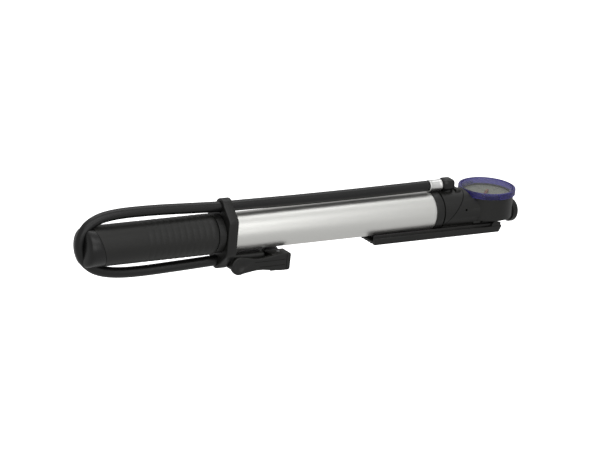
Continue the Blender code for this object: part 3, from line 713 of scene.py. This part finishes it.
trim(head, cap_room, cup, pin_hole, knob_bore, blow_hole, outlet_way)
settle(head, nylon, "pump_body", "head_body", smooth=45)
rim_top = rim_z + 0.28 * MM
rim = rounded([(rim_z - 2 * MM, 15.7 * MM), (rim_top, 15.7 * MM), (rim_top, 16.8 * MM),
               (rim_z - 2 * MM, 16.8 * MM)], 0.2 * MM)
settle(lathe("gauge_rim", rim, (gauge.x, gauge.y, 0), "Z", 128), nylon, "pump_body")

# %% [markdown]
# A sleeve wraps the neck and ends on a slant, with a small lip on top beside the hose's elbow. The
# elbow is its own glossy moulding: a rounded block that turns the air from the neck into the hose.

# %% Neck sleeve, lip and elbow
sleeve = shape("neck_wrap", rod_solid("X", 12.4 * MM, sleeve_low.x, sleeve_high.x + 2 * MM,
                                      (0, AXIS_Z), 128))
lean_back = flat_outline("lean_back", [(x * MM, z * MM + AXIS_Z) for x, z in (
    (seam_mid - SEAM_GAP - slant * 14, -14), (90, -14), (90, 14),
    (seam_mid - SEAM_GAP + slant * 14, 14))], -REACH, REACH)
way = shape("way", rod_solid("Z", 4.2 * MM, AXIS_Z + 5 * MM, 0.06,
                             (OUTLET_X, 0), 48))
inner = shape("inner", rod_solid("X", 11.6 * MM, -0.01, 0.05, (0, AXIS_Z), 96))
under = shape("under", box_solid((-0.02, -9.2 * MM, -0.02), (0.06, 9.2 * MM, AXIS_Z - 3.7 * MM)))
for cutter in (lean_back, way, inner, under):
    trim(sleeve, cutter)
lip = shape("lip", box_solid((17.6 * MM + ROUTE_SHIFT[0] * MM, -4.6 * MM, AXIS_Z + 10.5 * MM),
                             (21.2 * MM + ROUTE_SHIFT[0] * MM, 4.6 * MM, AXIS_Z + 13.3 * MM),
                             0.9 * MM))
trim(lip, shape("lip_bed", rod_solid("X", 12.0 * MM, -0.01, 0.05, (0, AXIS_Z), 90)))
trim(sleeve, lip, operation="UNION")
settle(sleeve, nylon, "pump_body", "neck_sleeve", smooth=35)

low, high = box_of("hose_elbow")
block_from = 8.2 * MM + ROUTE_SHIFT[0] * MM
outlet_z = AXIS_Z + 16.2 * MM
elbow = shape(
    "elbow_block",
    box_solid((block_from, low.y + 0.1 * MM, AXIS_Z + 12.7 * MM),
              (high.x - 0.9 * MM, high.y - 0.1 * MM, high.z - 0.1 * MM), 2.6 * MM),
    rod_solid("Z", 3.8 * MM, low.z, AXIS_Z + 15 * MM, (OUTLET_X, 0), 48),
    rod_solid("X", 1.5 * MM, low.x, block_from + 1 * MM, (0, outlet_z), 32),
)
settle(fuse(elbow, 0.25, 5), gloss_nylon, "pump_body", "hose_elbow", smooth=60)

# %% [markdown]
# The ferrule is a short bright tube crimped over the hose's end. The jaws leave its middle a little
# narrower than its two rims.

# %% Ferrule
low, high = box_of("hose_ferrule")
outer = (high.z - low.z) / 2
waist_r = outer - 0.12 * MM
profile = [(low.x, outer - 0.5 * MM), (high.x, outer - 0.5 * MM), (high.x, outer),
           (high.x - 1.1 * MM, outer), (high.x - 1.5 * MM, waist_r), (low.x + 1.5 * MM, waist_r),
           (low.x + 1.1 * MM, outer), (low.x, outer)]
settle(lathe("crimped_ferrule", rounded(profile, 0.2 * MM), (0, 0, outlet_z), steps=96),
       bright_metal, "pump_body", "hose_ferrule")

# %% [markdown]
# The knob beyond the gauge is a turned plug with a softly rounded end, screwed into the head.

# %% End plug
radius = (plug_high.z - plug_low.z) / 2
stem = [(plug_low.x, 0), (plug_low.x, 4.6 * MM), (plug_low.x + 8.5 * MM, 4.6 * MM),
        (plug_low.x + 8.5 * MM, radius)]
nose = [(plug_high.x - 2.6 * MM + 2.6 * MM * math.sin(a), radius - 2.6 * MM * (1 - math.cos(a)))
        for a in (math.radians(10 * i) for i in range(10))]
plug = lathe("end_knob", [*stem, *nose, (plug_high.x, 0)], (0, 0, KNOB.z), steps=96)
settle(plug, gloss_nylon, "pump_body", "end_plug")

# %% [markdown]
# ## The gauge
#
# A clear blue cap holds the lens over the dial. Its wall stands round the lens, and thicker lugs
# inside the wall look darker because more dyed plastic lies in the light's way.

# %% Gauge cap and lens
low, high = box_of("gauge_cap")
cap_r = (high.y - low.y) / 2
wall = [(low.z, 16.4 * MM), (high.z - 0.5 * MM, 16.4 * MM), (high.z - 0.15 * MM, 16.55 * MM),
        (high.z, 16.9 * MM), (high.z, cap_r - 0.7 * MM), (high.z - 0.2 * MM, cap_r - 0.2 * MM),
        (high.z - 0.7 * MM, cap_r), (low.z, cap_r)]
blue = lathe("blue_cap", wall, (gauge.x, gauge.y, 0), "Z", 160)
settle(blue, blue_plastic, "pump_body", "gauge_cap")
for name, centre, spread in (("lug_left", 250, 34), ("lug_right", 318, 34), ("lug_back", 110, 34)):
    outline = [*arc((gauge.x, gauge.y), 16.3 * MM, centre - spread / 2, centre + spread / 2, 14),
               *arc((gauge.x, gauge.y), 14.4 * MM, centre + spread / 2, centre - spread / 2, 14)]
    lug = flat_outline("cap_" + name, outline, low.z, low.z + 2.0 * MM, "XY", 0.25 * MM)
    settle(lug, thick_blue, "pump_body")

low, high = box_of("gauge_lens")
lens = rounded([(low.z, 0), (high.z, 0), (high.z, 16.1 * MM), (low.z, 16.1 * MM)], 0.3 * MM)
settle(lathe("lens", lens, (gauge.x, gauge.y, 0), "Z", 128), lens_plastic, "pump_body",
       "gauge_lens")

# %% [markdown]
# The dial is a painted disc. Its ticks and plain numbers run clockwise round three quarters of a
# turn, from the needle's rest to its limit.

# %% Dial
low, high = box_of("gauge_dial")
dial_r = (high.y - low.y) / 2
dial = rounded([(low.z, 1 * MM), (high.z, 1 * MM), (high.z, dial_r), (low.z, dial_r)], 0.1 * MM)
settle(lathe("dial", dial, (gauge.x, gauge.y, 0), "Z", 96), dial_paint, "pump_body", "gauge_dial")
INK_Z = high.z + 0.03 * MM
START_ANGLE, SWEEP, TICKS, PER_NUMBER = 225, 270, 32, 8
bm = bmesh.new()
for i in range(TICKS + 1):
    turn = math.radians(START_ANGLE - SWEEP * i / TICKS)
    long_tick = i % PER_NUMBER == 0
    inner, outer = (11.0 if long_tick else 12.4) * MM, 13.9 * MM
    width = (0.28 if long_tick else 0.14) * MM
    out = Vector((math.cos(turn), math.sin(turn), 0))
    across = Vector((-out.y, out.x, 0)) * width
    centre = Vector((gauge.x, gauge.y, INK_Z))
    bm.faces.new([bm.verts.new(centre + out * r + across * s)
                  for r, s in ((inner, -1), (outer, -1), (outer, 1), (inner, 1))])
ticks = new_piece("dial_ticks", bm, 0.000001)
thick = ticks.modifiers.new("thick", "SOLIDIFY")
thick.thickness = 0.03 * MM
settle(bake(ticks), ink, "pump_body")
for i in range(0, TICKS + 1, PER_NUMBER):
    turn = math.radians(START_ANGLE - SWEEP * i / TICKS)
    text = bpy.data.curves.new("number", "FONT")
    text.body = str(i // PER_NUMBER * 2)
    text.size = 3.2 * MM
    text.align_x, text.align_y = "CENTER", "CENTER"
    text.extrude = 0.02 * MM
    number = bpy.data.objects.new("dial_number_%d" % (i // PER_NUMBER), text)
    number.location = (gauge.x + 8.6 * MM * math.cos(turn), gauge.y + 8.6 * MM * math.sin(turn), INK_Z)
    bpy.context.scene.collection.objects.link(number)
    text.materials.append(ink)
    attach(number, "pump_body")

# %% [markdown]
# ## The foot
#
# The foot plate folds under the barrel like a tray: low outer walls, and a higher inner rib on each
# side that hugs the tube. Long shallow grooves in its sole give grip on the ground.

# %% Foot plate
low, high = box_of("foot_plate")
step_y, wall_y, half_y = 10.6 * MM, 9.25 * MM, high.y
sole = low.z
floor_z = AXIS_Z - 13.4 * MM
ledge, crest = AXIS_Z - 10.7 * MM, AXIS_Z - 9.05 * MM
rails = []
for i in range(6):
    y = (8.9 - 3.2 * i) * MM
    if y > 0:
        rails += [(y, sole), (y - 0.25 * MM, sole + 0.6 * MM), (y - 1.0 * MM, sole + 0.6 * MM),
                  (y - 1.25 * MM, sole)]
half_section = [*reversed(rails), (half_y - 0.8 * MM, sole), (half_y - 0.2 * MM, sole + 0.25 * MM),
                (half_y, sole + 0.8 * MM), (half_y, ledge - 0.3 * MM),
                (half_y - 0.3 * MM, ledge), (step_y + 0.1 * MM, ledge),
                (step_y, ledge + 0.1 * MM), (step_y, crest - 0.25 * MM),
                (step_y - 0.25 * MM, crest), (wall_y, crest), (wall_y, floor_z)]
section = half_section + [(-y, z) for y, z in reversed(half_section)]
foot = flat_outline("foot_tray", section, low.x + 0.05 * MM, high.x, "YZ", 0.25 * MM, 2)
ears = shape("ears", rod_solid("Y", 3.1 * MM, low.y + 0.2 * MM, high.y - 0.2 * MM, (pin.x, pin.z), 48))
trim(foot, ears, operation="UNION")
heel = flat_outline("heel", [(x * MM + ROUTE_SHIFT[0] * MM, z * MM + AXIS_Z) for x, z in (
    (46.8, -16), (52, -16), (52, -9), (49.3, -10.7))], -REACH, REACH)
between = shape("between", box_solid((0.038, -wall_y, -0.01), (0.06, wall_y, 0.02)))
hole = shape("hole", rod_solid("Y", 1.6 * MM, -11.7 * MM, 11.7 * MM, (pin.x, pin.z), 32))
trim(foot, between, heel, hole)
settle(foot, nylon, "foot", "foot_plate", smooth=30)

# %% [markdown]
# ## The valve head and its lever
#
# The head on the hose's end is a thick moulding with a round mouth for the tyre valve. A block takes
# the hose, a neck joins it to the mouth, and the post between them carries the lever's pin.

# %% Valve head
lever_pin = middle("lever_pin")
mouth = middle("valve_grommet")
arm_from, arm_to = (-145.2 + ROUTE_SHIFT[0]) * MM, (-121.4 + ROUTE_SHIFT[0]) * MM
hose_low = AXIS_Z - 17.4 * MM
valve = shape(
    "valve_body",
    box_solid((arm_from + 0.1 * MM, -8.5 * MM, AXIS_Z - 22.8 * MM),
              (arm_to, 3.5 * MM, AXIS_Z - 12.7 * MM), 1.8 * MM),
    box_solid((arm_to - 3 * MM, -1.5 * MM, AXIS_Z - 22.5 * MM),
              (mouth.x + 2.6 * MM, 4.5 * MM, AXIS_Z - 15.8 * MM), 0.8 * MM),
    rod_solid("Y", 7.4 * MM, 3.0 * MM, 12.5 * MM, (mouth.x, mouth.z), 64),
    box_solid((lever_pin.x - 2.5 * MM, lever_pin.y - 2.1 * MM, AXIS_Z - 22.3 * MM),
              (lever_pin.x + 2.5 * MM, 4 * MM, AXIS_Z - 15.7 * MM), 0.7 * MM),
)
fuse(valve, 0.3, 4)
socket = shape("socket", rod_solid("X", HOSE_R + 0.15 * MM, arm_from - 5 * MM, arm_from + 5.2 * MM,
                                   (0, hose_low), 48))
room = shape("room", rod_solid("Y", 6.0 * MM, 4.4 * MM, 20 * MM, (mouth.x, mouth.z), 64))
air = shape("air", rod_solid("X", 1.9 * MM, arm_from + 4 * MM, mouth.x, (0, hose_low), 32))
lever_hole = shape("lever_hole", rod_solid("Z", 1.3 * MM, -0.03, 0.02, lever_pin.xy, 32))
trim(valve, socket, room, air, lever_hole)
settle(valve, nylon, "pump_body", "valve_head", smooth=45)

# %% [markdown]
# The thumb lever lies flat over the valve head: a waisted bar with a dished thumb rest on the left, and
# two cheeks on a steel pin at the right. Three shallow lines in its face stop the thumb from slipping.

# %% Valve lever
low, high = box_of("valve_lever")


def at(x, z):
    """A point of the lever's outline, from millimetres on the pump's own axis."""
    return ((x + ROUTE_SHIFT[0]) * MM, z * MM + AXIS_Z)


waist = smooth_path([Vector((*at(*p), 0)) for p in (
    (-138.6, -24.1), (-135.0, -23.6), (-129.5, -22.9), (-124.0, -23.0), (-117.5, -23.9),
    (-111.0, -24.5))], 4)
crest_line = smooth_path([Vector((*at(*p), 0)) for p in (
    (-112.0, -13.5), (-118.0, -14.2), (-124.0, -15.1), (-130.0, -15.2), (-135.0, -14.2),
    (-138.6, -13.6))], 4)
outline = [*arc(at(-141.2, -18.9), 5.8 * MM, 80, 280, 25), *[tuple(p.xy) for p in waist],
           at(-106.4, -24.5), at(-105.4, -24.0), at(-105.1, -23.2), at(-104.9, -15.0),
           at(-105.2, -13.9), at(-106.0, -13.5), *[tuple(p.xy) for p in crest_line]]
lever = flat_outline("thumb_lever", outline, low.y, low.y + 2.8 * MM, "XZ", 0.7 * MM, 4)
cheeks = shape("cheeks", *[
    box_solid((at(-118.4, 0)[0], -11.0 * MM, z_low * MM + AXIS_Z),
              (at(-105.4, 0)[0], high.y - 0.05 * MM, z_high * MM + AXIS_Z), 0.5 * MM)
    for z_low, z_high in ((-15.2, -13.5), (-24.5, -22.8))])
trim(lever, cheeks, operation="UNION")
dish = bmesh.new()
bmesh.ops.create_uvsphere(dish, u_segments=48, v_segments=24, radius=7 * MM)
dish_at = at(-141.2, -18.9)
bmesh.ops.translate(dish, verts=dish.verts, vec=(dish_at[0], low.y - 6.0 * MM, dish_at[1]))
pin_way = shape("pin_way", rod_solid("Z", 1.3 * MM, -0.03, 0.02, lever_pin.xy, 32))
lines = [shape("line", box_solid((at(start, 0)[0], low.y - 1 * MM, z_low * MM + AXIS_Z),
                                 (at(end, 0)[0], low.y + 0.3 * MM, z_high * MM + AXIS_Z)))
         for start, end, z_low, z_high in ((-131, -109.4, -17.5, -17.1), (-127, -109.4, -20.9, -20.5),
                                           (-108.2, -107.8, -24.0, -14.4))]
trim(lever, new_piece("dish", dish), pin_way, *lines)
settle(lever, nylon, "lever", "valve_lever", smooth=35)
